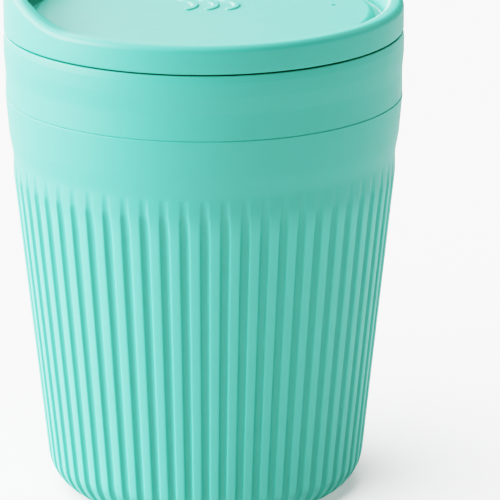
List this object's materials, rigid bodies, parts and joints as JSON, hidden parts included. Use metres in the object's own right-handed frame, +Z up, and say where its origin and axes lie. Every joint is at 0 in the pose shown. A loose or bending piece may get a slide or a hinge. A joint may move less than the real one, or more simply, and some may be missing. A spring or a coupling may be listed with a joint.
{
  "type": "insulated travel cup",
  "caption": "Ribbed double-wall travel cup with a smooth collar, a press-on lid with a raised drinking spout and a turning closure disc.",
  "frame": {"origin": "centre of the standing face under the base", "axes": "+Z up along the cup's axis, -X towards the drinking spout, +Y along the lid's width"},
  "size_m": [0.0922, 0.0922, 0.1223],
  "materials": {
    "shell_plastic": "satin moulded polypropylene",
    "lid_plastic": "satin moulded polypropylene",
    "liner_plastic": "smooth moulded polypropylene",
    "silicone": "soft silicone"
  },
  "bodies": {
    "cup": {"outer_shell": "shell_plastic", "inner_liner": "liner_plastic", "collar_ring": "shell_plastic"},
    "lid": {"lid_body": "lid_plastic", "lid_gasket": "silicone"},
    "disc": {"closure_disc": "lid_plastic", "sip_seal": "silicone", "vent_seal": "silicone", "stem_o_ring": "silicone", "disc_retainer": "lid_plastic"}
  },
  "joints": [
    {"name": "lid_lift", "type": "slide", "parent": "cup", "child": "lid", "axis": [0, 0, 1], "range_m": [0, 0.05]},
    {"name": "disc_turn", "type": "hinge", "parent": "lid", "child": "disc", "pos_m": [0, 0, 0.1125], "axis": [0, 0, 1], "range_deg": [0, 60]}
  ]
}
